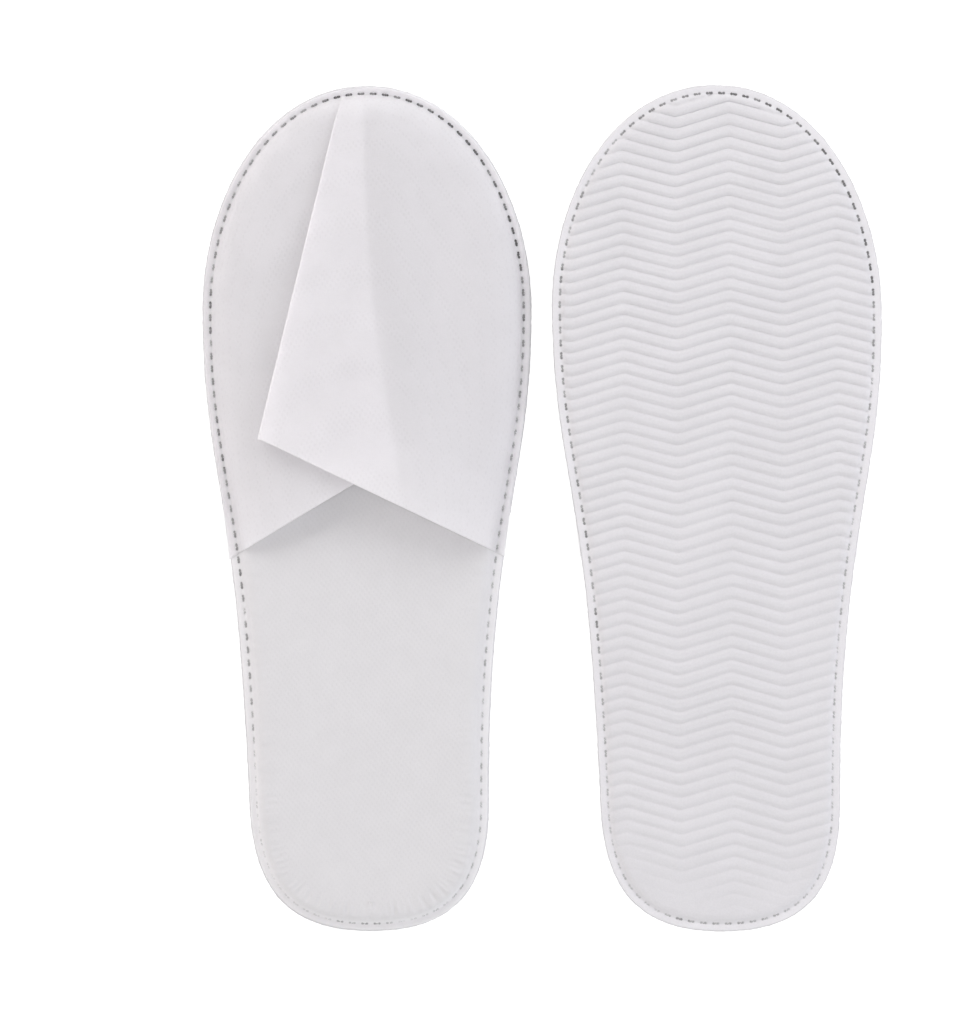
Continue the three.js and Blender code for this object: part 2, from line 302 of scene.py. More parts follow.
def ladder(plan, insets, columns, stations):
    """A mesh in plan that fills the outline: rings at the insets, then straight rows from side to side."""
    shares = np.arange(stations) / stations
    rings = [plan.at(shares, np.full(stations, inset)) for inset in insets]
    half = stations // 2
    last = (len(insets) - 1) * stations
    start = last + stations
    rows = np.arange(1, half)
    across = np.arange(1, columns) / columns
    right, left = rings[-1][rows], rings[-1][stations - rows]
    inner = mix(right[:, None], left[:, None], across[None, :, None]).reshape(-1, 2)
    points = np.vstack([*rings, inner])

    i = np.arange(stations)
    ahead = (i + 1) % stations
    quads = []
    for level in range(len(insets) - 1):
        outer, inner_ring = level * stations, (level + 1) * stations
        quads.append(np.column_stack([outer + i, inner_ring + i, inner_ring + ahead, outer + ahead]))
    grid = np.empty((half - 1, columns + 1), int)
    grid[:, 0] = last + rows
    grid[:, -1] = last + stations - rows
    grid[:, 1:-1] = start + np.arange((half - 1) * (columns - 1)).reshape(half - 1, -1)
    a, b, c, d = grid[:-1, :-1], grid[:-1, 1:], grid[1:, 1:], grid[1:, :-1]
    quads.append(np.column_stack([a.ravel(), b.ravel(), c.ravel(), d.ravel()]))
    toe = np.column_stack([np.full(columns, last), grid[0, 1:], grid[0, :-1]])
    heel = np.column_stack([np.full(columns, last + half), grid[-1, :-1], grid[-1, 1:]])
    return points, np.vstack(quads), np.vstack([toe, heel])


class Slipper:
    """Where one slipper lies, and the names of its CAD pieces and bodies."""

    def __init__(self, prefix, turned, loft):
        self.prefix = prefix
        self.turned = turned
        self.loft = loft
        low, high = (np.array(corner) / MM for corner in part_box(f"{prefix}_outsole"))
        self.centre = (low[0] + high[0]) / 2
        self.plan = Plan((high[0] - low[0]) / 2, (high[1] - low[1]) / 2)
        self.body = f"{prefix}_slipper"
        self.upper_body = f"{prefix}_upper"
        self.height = high[2]
        self.edge_wave = EdgeWaves(SEED + turned, 3, 40)
        self.show_wave = EdgeWaves(SEED + 31 + turned, 15, 75)
        self.sag = HEEL_SAG if turned else 0.0

    def place(self, points):
        """Carries points from the slipper's own frame to the CAD model's, in metres."""
        x, y, z = np.asarray(points, float).T
        if self.turned:
            z = self.height - z - self.sag * smoothstep(-y, 0, HEEL_SAG_RUN)
            x = -x - TOE_DRIFT * smoothstep(y, 0, 130)
        x = x + HEEL_DRIFT * smoothstep(-y, 50, 142)
        return np.column_stack([x + self.centre, y, z]) * MM

    def name(self, piece):
        return f"{self.prefix}_{piece}"

    def show(self, share):
        """How plainly the stitches show at these shares, 0 to 1."""
        seen = np.mod(-share if self.turned else share, 1)
        return np.clip(hermite(STITCH_SHOW)(seen) * (1 + SHOW_CHANGE * self.show_wave(share)), 0, 1)


def stitch_distance(share):
    """Distance along the seam to the middle of the nearest stitch, in pitches."""
    phase = np.mod(share * STITCHES, 1)
    return np.abs(phase - 0.5)


def build_piece(slipper, name, points, quads, tris, material):
    mesh = bpy.data.meshes.new(slipper.name(name))
    faces = quads.tolist() + (tris.tolist() if len(tris) else [])
    mesh.from_pydata(slipper.place(points).tolist(), [], faces)
    mesh.polygons.foreach_set("use_smooth", np.ones(len(mesh.polygons), bool))
    mesh.materials.append(material)
    piece = bpy.data.objects.new(slipper.name(name), mesh)
    bpy.context.scene.collection.objects.link(piece)
    return piece


def note(piece, seam):
    """Stores, at each vertex, three numbers that the materials read: see seam_numbers()."""
    attribute = piece.data.attributes.new("seam", "FLOAT_VECTOR", "POINT")
    attribute.data.foreach_set("vector", np.asarray(seam, np.float32).ravel())


def note_one(piece, name, values):
    attribute = piece.data.attributes.new(name, "FLOAT", "POINT")
    attribute.data.foreach_set("value", np.asarray(values, np.float32))


def seam_numbers(slipper, share, inset):
    """Millimetres along the seam from the middle of a stitch, millimetres in from the edge, and show()."""
    pitch = slipper.plan.perimeter / STITCHES
    return np.column_stack([stitch_distance(share) * pitch, inset, slipper.show(share)])


def pinch(plan, share, inset):
    """How hard the seam pulls a layer in, 0 to 1: most at each needle hole, some all along the seam."""
    pitch = plan.perimeter / STITCHES
    to_hole = stitch_distance(share) * pitch - DASH / 2
    away = inset - SEAM_INSET
    along = 0.35 + 0.65 * np.exp(-((to_hole / 0.45) ** 2))
    return along * np.exp(-((away / 0.55) ** 2))


def flange_wave(slipper, share, inset):
    """The raw edge outside the seam lifts and dips a little, and all layers do it together."""
    free = np.clip(1 - inset / SEAM_INSET, 0, 1)
    return 0.3 * slipper.edge_wave(share) * free


# ------------------------------------------------------------------ materials

def principled(name, colour, roughness, **sockets):
    material = bpy.data.materials.new(name)
    material.use_nodes = True
    shader = material.node_tree.nodes["Principled BSDF"]
    shader.inputs["Base Color"].default_value = (*colour, 1)
    shader.inputs["Roughness"].default_value = roughness
    for socket, value in sockets.items():
        shader.inputs[socket.replace("_", " ")].default_value = value
    return material, shader


class Graph:
    """Short ways to add nodes to a material."""

    def __init__(self, material):
        self.tree = material.node_tree
        self.shader = self.tree.nodes["Principled BSDF"]

    def add(self, kind, inputs=(), **settings):
        node = self.tree.nodes.new(kind)
        for key, value in settings.items():
            setattr(node, key, value)
        for key, value in dict(inputs).items():
            if isinstance(value, bpy.types.NodeSocket):
                self.tree.links.new(value, node.inputs[key])
            else:
                node.inputs[key].default_value = value
        return node

    def math(self, operation, a, b=0.0, clamp=False):
        return self.add("ShaderNodeMath", {0: a, 1: b}, operation=operation, use_clamp=clamp).outputs[0]

    def position(self, scale=(1, 1, 1), rotation=(0, 0, 0)):
        where = self.add("ShaderNodeTexCoord").outputs["Object"]
        inputs = {"Vector": where, "Scale": [s / MM for s in scale], "Rotation": rotation}
        return self.add("ShaderNodeMapping", inputs).outputs[0]

    def noise(self, vector, scale, detail=3.0, rough=0.5):
        inputs = {"Vector": vector, "Scale": scale, "Detail": detail, "Roughness": rough}
        return self.add("ShaderNodeTexNoise", inputs).outputs["Fac"]

    def ramp(self, value, low, high, to_low=0.0, to_high=1.0):
        inputs = {"Value": value, 1: low, 2: high, 3: to_low, 4: to_high}
        return self.add("ShaderNodeMapRange", inputs, interpolation_type="SMOOTHSTEP").outputs[0]

    def seam(self):
        node = self.add("ShaderNodeAttribute", attribute_name="seam")
        split = self.add("ShaderNodeSeparateXYZ", {0: node.outputs["Vector"]})
        return split.outputs

    def bump(self, height, strength, distance, normal=None):
        inputs = {"Height": height, "Strength": strength, "Distance": distance * MM}
        if normal is not None:
            inputs["Normal"] = normal
        return self.add("ShaderNodeBump", inputs).outputs[0]

    def colour(self, factor, low, high):
        inputs = {0: factor, 6: (*low, 1), 7: (*high, 1)}
        return self.add("ShaderNodeMix", inputs, data_type="RGBA").outputs[2]

    def link(self, socket, name):
        self.tree.links.new(socket, self.shader.inputs[name])


def sewn(graph, white, tone, painted_shade, flange_painted_light=1.1):
    """The colour of a layer: painted lighter outside the seam, against the shade of the padded rise beside
    it, and painted dark in the needle holes for the shade inside them.
    """
    seam = graph.seam()
    along = graph.math("SUBTRACT", seam[0], DASH / 2)
    away = graph.math("SUBTRACT", seam[1], SEAM_INSET)
    squares = graph.math("ADD", graph.math("MULTIPLY", along, along), graph.math("MULTIPLY", away, away))
    # painted shade in the needle holes, stronger where the stitches show most
    hole_shade = graph.ramp(graph.math("SQRT", squares), 0.22, 0.62, 1.0, 0.0)
    hole_shade = graph.math("MULTIPLY", hole_shade, graph.ramp(seam[2], 0.0, 1.0, 0.0, 1.0))
    # painted light: the layer is made lighter outside the seam, against the shade of the padded rise beside
    # it
    flange_painted_light = graph.ramp(seam[1], 2.0, 4.2, flange_painted_light, 1.0)
    tone = graph.math("MULTIPLY", tone, flange_painted_light)
    body = graph.add("ShaderNodeVectorMath", {0: white, "Scale": tone}, operation="SCALE").outputs[0]
    return graph.add("ShaderNodeMix", {0: hole_shade, 6: body, 7: (*painted_shade, 1)}, data_type="RGBA").outputs[2]


def nonwoven(name, white, painted_shade, pitch, bonding, see_through=0.0):
    """Spunbonded fabric: random fibres, a diagonal grid of small point bonds, cloudy density."""
    material, shader = principled(name, white, 0.85, Sheen_Weight=0.1, Sheen_Roughness=0.5)
    graph = Graph(material)
    bonds = graph.add(
        "ShaderNodeTexVoronoi",
        {"Vector": graph.position((1, 0.62, 1), (0, 0, 0.62)), "Scale": 1 / pitch, "Randomness": 0.1},
        feature="F1",
    ).outputs["Distance"]
    dots = graph.ramp(bonds, 0.16, 0.42)
    long_fibres = graph.noise(graph.position((4.0, 0.7, 4.0), (0, 0, 0.5)), 1.0, 5.0, 0.65)
    cross_fibres = graph.noise(graph.position((0.7, 4.0, 4.0), (0, 0, 0.3)), 1.0, 5.0, 0.65)
    fibres = graph.math("ADD", long_fibres, cross_fibres)
    clouds = graph.noise(graph.position(), 0.12, 5.0, 0.6)
    height = graph.math("ADD", graph.math("MULTIPLY", fibres, 0.6), graph.math("MULTIPLY", dots, 0.5))
    graph.link(graph.bump(height, 0.45, 0.12), "Normal")
    cloudy = graph.ramp(clouds, 0.3, 0.7, -0.012, 0.012)
    tone = graph.math("ADD", cloudy, graph.ramp(fibres, 0.7, 1.3, -0.02, 0.02))
    tone = graph.math("ADD", tone, graph.ramp(dots, 0.0, 1.0, 1 - bonding, 1.0))
    if see_through:
        # painted light: whiter where three layers of the upper lie on each other
        past = graph.add("ShaderNodeAttribute", attribute_name="past_fold").outputs["Fac"]
        tone = graph.math("MULTIPLY", tone, graph.ramp(past, -1.6, 1.2, 1.0 + LAYERS_PAINTED_WHITER, 1.0))
    # painted light outside the seam: a little for the see-through upper, more for the footbed fabric
    colour = sewn(graph, white, tone, painted_shade, 1.04 if see_through else 1.2)
    graph.link(colour, "Base Color")
    if see_through:
        through = graph.add("ShaderNodeBsdfTranslucent", {"Color": colour}).outputs[0]
        output = graph.tree.nodes["Material Output"]
        inputs = {0: see_through, 1: graph.shader.outputs[0], 2: through}
        both = graph.add("ShaderNodeMixShader", inputs).outputs[0]
        graph.tree.links.new(both, output.inputs["Surface"])
    return material


def foam(name, white, painted_shade):
    """Closed-cell foam: fine grain, tiny pits, cloudy tone."""
    material, shader = principled(name, white, 0.62, Specular_IOR_Level=0.35)
    graph = Graph(material)
    grain = graph.noise(graph.position(), 1.6, 5.0, 0.7)
    cells = graph.add(
        "ShaderNodeTexVoronoi", {"Vector": graph.position(), "Scale": 2.2}, feature="F1"
    ).outputs["Distance"]
    pits = graph.ramp(cells, 0.0, 0.45)
    height = graph.math("ADD", grain, graph.math("MULTIPLY", pits, 0.4))
    graph.link(graph.bump(height, 0.5, 0.16), "Normal")
    clouds = graph.noise(graph.position(), 0.06, 4.0, 0.5)
    cloudy = graph.ramp(clouds, 0.3, 0.7, -0.015, 0.015)
    tone = graph.math("ADD", cloudy, graph.ramp(grain, 0.3, 0.7, 0.975, 1.025))
    # painted shade: the foam is coloured darker along its cut rim, for the shade on the outline
    rim_painted_shade = graph.ramp(graph.seam()[1], 0.05, 0.45, 0.78, 1.0)
    tone = graph.math("MULTIPLY", tone, rim_painted_shade)
    graph.link(sewn(graph, white, tone, painted_shade), "Base Color")
    return material


def sponge(name, white):
    """Open-cell sponge of the footbed pad."""
    material, shader = principled(name, white, 0.95)
    graph = Graph(material)
    cells = graph.add(
        "ShaderNodeTexVoronoi", {"Vector": graph.position(), "Scale": 1.6}, feature="F1"
    ).outputs["Distance"]
    graph.link(graph.bump(cells, 0.8, 0.4), "Normal")
    # painted shade: the colour is darker in the cell pits that the bump makes
    graph.link(graph.colour(cells, tuple(0.8 * c for c in white), white), "Base Color")
    return material


def thread(name, painted_shade, light):
    """Spun sewing thread: fine fuzz along the plies. Its colour is painted shade, darker where it dives
    into the layers and where the stitches show most, for the shade in the dips of the seam.
    """
    material, shader = principled(name, light, 0.7, Sheen_Weight=0.2)
    graph = Graph(material)
    tone = graph.add("ShaderNodeAttribute", attribute_name="tone").outputs["Fac"]
    fuzz = graph.noise(graph.position(), 5.0, 3.0, 0.6)
    graph.link(graph.bump(fuzz, 0.4, 0.05), "Normal")
    graph.link(graph.colour(tone, light, painted_shade), "Base Color")
    return material


# ------------------------------------------------------------------ pieces

def zigzag(x):
    """The chevron line: straight flanks with softened peaks and valleys."""
    turn = 2 * math.pi * (x - ZIGZAG_SHIFT) / ZIGZAG_PERIOD
    soft = 0.996
    return ZIGZAG_HEIGHT / 2 * np.arcsin(soft * np.cos(turn)) / math.asin(soft)


def tread_depth(slipper, xy, share, inset):
    """How deep the embossing lies below the ridge tops."""
    x, y = xy.T
    y = y + RIDGE_TILT * x * smoothstep(y, -90, 20) - RIDGE_OFFSET + 0.16 * Waves(SEED + 4, 18, 60)(xy)
    phase = (y - zigzag(x)) / RIDGE_PITCH + RIDGE_STRETCH * np.hypot(y, 12)
    ridge = np.abs(np.sin(math.pi * phase)) ** 0.62
    heel = 1 - smoothstep(-xy[:, 1], *TREAD_FADE)
    corner = 1 - smoothstep(-xy[:, 1] + 0.4 * np.abs(x + 6), 112, 146)
    edge = smoothstep(inset, SEAM_INSET, SEAM_INSET + 1.0)
    worn = mix(0.68, 1.0, smoothstep(xy[:, 1], -110, 110)) * (1 + 0.12 * Waves(SEED + 3, 25, 90)(xy))
    return RIDGE_DEPTH * (1 - ridge) * np.minimum(heel, corner) * edge * worn


def outsole(slipper, material):
    plan = slipper.plan
    stations = STITCHES * STEPS_PER_STITCH
    insets = [0.15, 0.6, 1.2, 1.75, 2.2, 2.65, 3.1, 3.5, 3.95, 4.5, 5.2]
    xy, quads, tris = ladder(plan, insets, 88, stations)
    share, inset = plan.locate(xy)
    step = FLANGE_UNDER * np.exp(-(np.clip(inset - SEAM_INSET - 0.15, 0, None) / 1.25) ** 1.3)
    z = step + tread_depth(slipper, xy, share, inset)
    z += 0.35 * pinch(plan, share, inset) + flange_wave(slipper, share, inset)
    z += 0.12 * Waves(SEED + 5, 30, 120)(xy) * smoothstep(inset, 6, 25)
    z = np.maximum(z, 0.0)
    under = np.column_stack([xy, z])

    top_xy, top_quads, top_tris = ladder(plan, [0.12, 4.0], 6, stations)
    top_share, top_inset = plan.locate(top_xy)
    top_z = FLANGE_TOP + flange_wave(slipper, top_share, top_inset)
    top = np.column_stack([top_xy, top_z])

    i = np.arange(stations)
    ahead = (i + 1) % stations
    rim = []
    cut = 0.08 * EdgeWaves(SEED + 6, 30, 300)(i / stations)
    for out, rise in ((0.05, 0.12), (0.12, 0.5), (0.03, 0.9)):
        level = mix(under[:stations], top[:stations], rise)
        level[:, :2] -= plan.inward(i / stations) * (out + cut)[:, None]
        rim.append(level)
    starts = [0] + [len(under) + k * stations for k in range(len(rim) + 1)]
    rim_quads = [
        np.column_stack([low + i, high + i, high + ahead, low + ahead])
        for low, high in zip(starts[:-1], starts[1:])
    ]
    top_start = starts[-1]
    points = np.vstack([under, *rim, top])
    all_quads = np.vstack([quads[:, ::-1], *rim_quads, top_quads + top_start])
    all_tris = np.vstack([tris[:, ::-1], top_tris + top_start])
    piece = build_piece(slipper, "sole", points, all_quads, all_tris, material)
    rest_share = np.concatenate([share, *[i / stations] * len(rim), top_share])
    rest_inset = np.concatenate([inset, np.zeros(stations * len(rim)), top_inset])
    note(piece, seam_numbers(slipper, rest_share, rest_inset))
    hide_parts(slipper.name("outsole"))
    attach(piece, slipper.body)
    return piece


def footbed_height(slipper, xy, share, inset):
    plan = slipper.plan
    bulge = heel_bulge(slipper, share)
    z = hermite(FOOTBED_RISE)(inset * (1 + 0.22 * bulge))
    slope = smoothstep(inset, SEAM_INSET, 4.5) * (1 - smoothstep(inset, 5, 11))
    heel = smoothstep(-xy[:, 1], 70, 125) * (0.35 + 0.65 * smoothstep(xy[:, 0], -10, 20))
    pucker = -np.cos(2 * math.pi * STITCHES * share)
    z = z + (0.03 + 0.10 * heel) * pucker * slope
    z += 0.15 * EdgeWaves(SEED + 11, 20, 90)(share) * slope * (0.3 + 0.7 * heel)
    z += 0.12 * Waves(SEED + 13, 35, 130)(xy) * smoothstep(inset, 8, 25)
    return z - 0.3 * (1 - 0.7 * bulge) * pinch(plan, share, inset) + flange_wave(slipper, share, inset)


def heel_bulge(slipper, share):
    """Where the footbed swells out over its seam: round the heel of the slipper that stands."""
    if slipper.turned:
        return np.zeros(len(share))
    return smoothstep(share, 0.42, 0.47) * (1 - smoothstep(share, 0.6, 0.66))


def sample(table, share, level):
    """Reads a table with one row for each level and one column for each station, which close in a ring."""
    stations = table.shape[1]
    along = np.mod(share, 1) * stations
    i = along.astype(int) % stations
    j = np.clip(level.astype(int), 0, len(table) - 2)
    f, g = along - np.floor(along), np.clip(level - j, 0, 1)
    low = mix(table[j, i], table[j, (i + 1) % stations], f)
    high = mix(table[j + 1, i], table[j + 1, (i + 1) % stations], f)
    return mix(low, high, g)


def settled_puckers(plan, outline_stations):
    """How far the footbed's fabric rises beside the seam, in millimetres, for each level and station.

    A cloth strip with some length to spare, held along the seam and where it lies flat on the pad, settles
    under the pad's pressure.
    """
    stations = STITCHES * STRIP_STEPS
    shares = np.arange(stations) / stations
    rise = hermite(FOOTBED_RISE)
    rings = [
        np.column_stack([plan.at(shares, np.full(stations, inset)), np.full(stations, rise(inset))])
        for inset in STRIP_INSETS
    ]
    before = np.vstack(rings)
    i = np.arange(stations)
    ahead = (i + 1) % stations
    quads = [
        np.column_stack([low + i, low + stations + i, low + stations + ahead, low + ahead])
        for low in range(0, len(before) - stations, stations)
    ]
    mesh = bpy.data.meshes.new("strip")
    mesh.from_pydata((before * CLOTH_SCALE).tolist(), [], np.vstack(quads).tolist())
    strip = bpy.data.objects.new("strip", mesh)
    scene = bpy.context.scene
    scene.collection.objects.link(strip)
    held = strip.vertex_groups.new(name="held")
    held.add(i.tolist(), 1.0, "REPLACE")
    held.add((len(before) - stations + i).tolist(), 1.0, "REPLACE")
    cloth = strip.modifiers.new("cloth", "CLOTH")
    settings = cloth.settings
    settings.quality = 6
    settings.mass = 0.3
    settings.tension_stiffness = settings.compression_stiffness = 12
    settings.shear_stiffness = 4
    settings.bending_stiffness = 0.3
    settings.vertex_group_mass = "held"
    settings.shrink_min = settings.shrink_max = -STRIP_SPARE
    settings.use_pressure = True
    settings.uniform_pressure_force = STRIP_PRESSURE
    settings.effector_weights.gravity = 0
    for frame in range(1, STRIP_FRAMES + 1):
        scene.frame_set(frame)
    settled = strip.evaluated_get(bpy.context.evaluated_depsgraph_get()).data
    after = np.empty(len(before) * 3)
    settled.vertices.foreach_get("co", after)
    moved = after.reshape(-1, 3)[:, 2] / CLOTH_SCALE - before[:, 2]
    bpy.data.objects.remove(strip)
    scene.frame_set(1)
    moved = np.clip(moved, -STRIP_CAP, STRIP_CAP).reshape(-1, stations)
    return np.fft.irfft(np.fft.rfft(moved), outline_stations) * outline_stations / stations


def footbed(slipper, material, puckers):
    plan = slipper.plan
    stations = STITCHES * STEPS_PER_STITCH
    insets = [0.12, 0.8, 1.6, 2.15, 2.65, 3.15, 3.6, 4.1, 4.7, 5.5, 6.6, 8.0, 10.0]
    xy, quads, tris = ladder(plan, insets, 34, stations)
    share, inset = plan.locate(xy)
    z = footbed_height(slipper, xy, share, inset)
    level = np.interp(inset, STRIP_INSETS, np.arange(len(STRIP_INSETS)))
    heel = smoothstep(-xy[:, 1], 60, 125)
    z += mix(0.25, 1.0, heel) * sample(puckers, share, level)
    points = np.column_stack([xy, z])
    ragged_edge(slipper, points, share, inset, SEED + 17, 0.25)
    piece = build_piece(slipper, "footbed", points, quads, tris, material)
    note(piece, seam_numbers(slipper, share, inset))
    thicken(piece, FOOTBED_FABRIC)
    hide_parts(slipper.name("footbed_cover"))
    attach(piece, slipper.body)
    low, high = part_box(slipper.name("footbed_cover"))
    slipper.name("sponge")
    return piece


def ragged_edge(slipper, points, share, inset, seed, back):
    """Cuts the raw edge of a layer a little unevenly, about this far inside the sole's."""
    free = np.clip(1 - inset / 1.5, 0, 1)[:, None]
    cut = back + 0.25 * EdgeWaves(seed + slipper.turned, 2, 9)(share)
    cut += 0.06 * EdgeWaves(seed, 60, 400)(share)
    points[:, :2] += slipper.plan.inward(share) * free * cut[:, None]


def thicken(piece, thickness):
    solid = piece.modifiers.new("thickness", "SOLIDIFY")
    solid.thickness = thickness * MM
    solid.offset = 0
    return solid


def footbed_pad(slipper, material):
    plan = slipper.plan
    stations = STITCHES * 2
    insets = [5.6, 5.2, 5.3, 5.9, 7.2, 9.5, 13.0]
    heights = [2.75, 3.2, 4.0, 4.9, 5.5, 5.8, 5.9]
    xy, quads, tris = ladder(plan, insets, 16, stations)
    share, inset = plan.locate(xy)
    z = np.concatenate([np.repeat(heights, stations), np.full(len(xy) - len(heights) * stations, 5.9)])
    z += 0.12 * Waves(SEED + 13, 35, 130)(xy) * smoothstep(inset, 8, 25)
    base_xy, base_quads, base_tris = ladder(plan, [insets[0]], 16, stations)
    count = len(xy)
    extra = base_xy[stations:]
    points = np.vstack([np.column_stack([xy, z]), np.column_stack([extra, np.full(len(extra), 2.75)])])

    def remap(faces):
        return np.where(faces < stations, faces, faces - stations + count)[:, ::-1]

    all_quads = np.vstack([quads, remap(base_quads)])
    piece = build_piece(slipper, "sponge", points, all_quads, np.vstack([tris, remap(base_tris)]), material)
    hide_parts(slipper.name("footbed_pad"))
    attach(piece, slipper.body)
    return piece


def fold_line(start, tip, bow, t):
    """Points of a fold from start to tip, bowed to the left when seen from above with the toes up."""
    run = tip - start
    left = np.array([run[1], -run[0]]) / np.linalg.norm(run)
    return mix(start, tip, t[:, None]) + bow * np.sin(math.pi * t)[:, None] * left


def past_fold(start, tip, bow, xy):
    """Distance in plan to the right of such a fold."""
    length = np.linalg.norm(tip - start)
    along = (tip - start) / length
    offset = xy - start
    part = np.clip(offset @ along / length, 0, 1)
    return offset[:, 1] * along[0] - offset[:, 0] * along[1] + bow * np.sin(math.pi * part)


def upper_height(slipper, xy, inset):
    """Height of the upper's lowest layer."""
    toe, mouth = slipper.loft
    back = smoothstep(-xy[:, 1], -130, 15)
    rise = 1 - np.exp(-np.clip(inset - 5.5, 0, None) / 12)
    wave = 0.25 * Waves(SEED + 19, 30, 110)(xy) * smoothstep(inset, 8, 25) * min(1, mouth / 4)
    return hermite(UPPER_RISE)(inset) + mix(toe, mouth, back) * rise + wave


def upper_sheet(slipper, material):
    """One sheet from raw edge to raw edge: left part, under fold, middle part, top fold, right part."""
    plan = slipper.plan
    rows = UPPER_ROWS
    t = np.linspace(0, 1, rows + 1)
    fold_share = [UNDER_FOLD[0], TOP_FOLD[0]]
    band = np.array([0.0, 0.7, 1.4, 2.0, 2.35, 2.65, 2.95, 3.3, 3.8, 4.4, 5.2, 6.2, 7.3, SEAM_FOOT])
    starts = [plan.at(np.array([share]), np.array([SEAM_FOOT]))[0] for share in fold_share]
    tips = [np.array(UNDER_FOLD[1]), np.array(TOP_FOLD[1])]
    folds = [fold_line(start, tip, bow, t) for start, tip, bow in zip(starts, tips, (UNDER_BOW, 0.0))]

    def outer_part(fold, fold_at, corner, columns):
        """Rows of plan points from the raw edge in over the seam and straight on to the fold."""
        share = mix(fold_at, corner, t)
        strip = np.stack([plan.at(share, np.full(rows + 1, inset)) for inset in band], 1)
        mouth_edge = fold[-1] - strip[-1, -1]
        mouth_edge /= np.linalg.norm(mouth_edge)
        run = (SEAM_FOOT - band)[None, :, None]
        swing = smoothstep(t, 0.86, 1.0)[:, None, None]
        strip = mix(strip, strip[:, -1:] - mouth_edge * run / abs(mouth_edge[0]), swing)
        crease = (fold[0] - fold[-1]) / np.linalg.norm(fold[0] - fold[-1])
        swing = 1 - smoothstep(t, 0.0, 0.12)[:, None, None]
        strip = mix(strip, strip[:, -1:] + crease * run / crease[1], swing)
        u = (np.arange(1, columns + 1) / columns)[None, :, None]
        flat = mix(strip[:, -1:, :], fold[:, None, :], u)
        return np.concatenate([strip, flat], 1)

    left = outer_part(folds[0], fold_share[0], -CORNER, 26)
    right = outer_part(folds[1], fold_share[1], CORNER, 44)[:, ::-1]
    u = (np.arange(19) / 18)[None, :, None]
    middle = mix(folds[0][:, None, :], folds[1][:, None, :], u)

    gaps = PRESSED_GAPS if slipper.turned else FOLD_GAPS
    gap_low, gap_high = (at_toe + more * t for at_toe, more in gaps)

    def lift(part, amount):
        flat = part.reshape(-1, 2)
        share, inset = plan.locate(flat)
        z = upper_height(slipper, flat, inset) - 0.3 * pinch(plan, share, inset)
        z += flange_wave(slipper, share, inset) + amount(flat, inset).ravel()
        points = np.column_stack([flat, z])
        ragged_edge(slipper, points, share, inset, SEED + 23, 0.5)
        return points.reshape(*part.shape[:2], 3)

    def clear_of_seam(inset):
        return smoothstep(inset, 1.0, 12)

    def under_lift(flat, inset):
        return np.zeros(len(flat))

    def middle_lift(flat, inset):
        gap = np.repeat(gap_low, middle.shape[1])
        return mix(0.3, gap, clear_of_seam(inset))

    def top_lift(flat, inset):
        gap = np.repeat(gap_low + gap_high, right.shape[1])
        past = past_fold(starts[0], tips[0], UNDER_BOW, flat)
        return gap * (1 - smoothstep(past, 3.0, 28)) * clear_of_seam(inset)

    left_pts = lift(left, under_lift)
    mid_pts = lift(middle, middle_lift)
    right_pts = lift(right, top_lift)

    def fold_turn(a, b, side):
        """The half turn of fabric between the edge a of one layer and the edge b of the next."""
        steps = 6
        angles = math.pi * (np.arange(1, steps) / steps - 0.5)
        centre = (a + b) / 2
        radius = np.abs(b[:, 2] - a[:, 2]) / 2
        out = np.repeat(centre[:, None, :], steps - 1, 1)
        out[:, :, 0] += side * radius[:, None] * np.cos(angles)
        out[:, :, 2] += radius[:, None] * np.sin(angles)
        return out

    right_pts[:, 0, :2] = mid_pts[:, -1, :2]
    under_turn = fold_turn(left_pts[:, -1], mid_pts[:, 0], 1)
    top_turn = fold_turn(mid_pts[:, -1], right_pts[:, 0], -1)
    grid = np.concatenate([left_pts, under_turn, mid_pts, top_turn, right_pts], 1)
    columns = grid.shape[1]
    flat = grid.reshape(-1, 3)
    index = np.arange(len(flat)).reshape(rows + 1, columns)
    a, b, c, d = index[:-1, :-1], index[1:, :-1], index[1:, 1:], index[:-1, 1:]
    quads = np.column_stack([a.ravel(), b.ravel(), c.ravel(), d.ravel()])
    piece = build_piece(slipper, "upper_sheet", flat, quads, [], material)
    share, inset = plan.locate(flat[:, :2])
    past = past_fold(starts[0], tips[0], UNDER_BOW, flat[:, :2])
    below = left_pts.shape[1] + under_turn.shape[1]
    on_top = np.tile(np.arange(columns) >= below, rows + 1)
    note(piece, seam_numbers(slipper, share, inset))
    note_one(piece, "past_fold", np.where(on_top, np.clip(past, -20, 20), 20))
    thicken(piece, UPPER_FABRIC)
    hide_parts(slipper.name("upper_margin"), slipper.name("upper_flap"))
    return piece


# ------------------------------------------------------------------ scene

def look_down():
    """The camera, straight above the pair."""
    scene = bpy.context.scene
    data = bpy.data.cameras.new("camera")
    camera = bpy.data.objects.new("camera", data)
    scene.collection.objects.link(camera)
    data.sensor_width = SENSOR
    data.lens = SENSOR * CAMERA_HEIGHT / VIEW_HEIGHT
    data.clip_end = 10
    camera.location = (*CAMERA_OVER, CAMERA_HEIGHT)
    scene.camera = camera


def panel(name, place, size, watts, tint):
    """A soft light that faces the frame's origin."""
    light = bpy.data.lights.new(name, "AREA")
    light.shape = "RECTANGLE"
    light.size, light.size_y = size
    light.energy = watts
    light.color = tint
    lamp = bpy.data.objects.new(name, light)
    lamp.location = place
    lamp.rotation_mode = "QUATERNION"
    lamp.rotation_quaternion = (-Vector(place)).to_track_quat("-Z", "Y")
    bpy.context.scene.collection.objects.link(lamp)


def lights():
    scene = bpy.context.scene
    world = bpy.data.worlds.new("studio")
    world.use_nodes = True
    background = world.node_tree.nodes["Background"]
    background.inputs["Color"].default_value = (1, 1, 1, 1)
    background.inputs["Strength"].default_value = SKY_STRENGTH
    scene.world = world
    scene.view_settings.view_transform = "Standard"
    for light in LIGHTS:
        panel(*light)


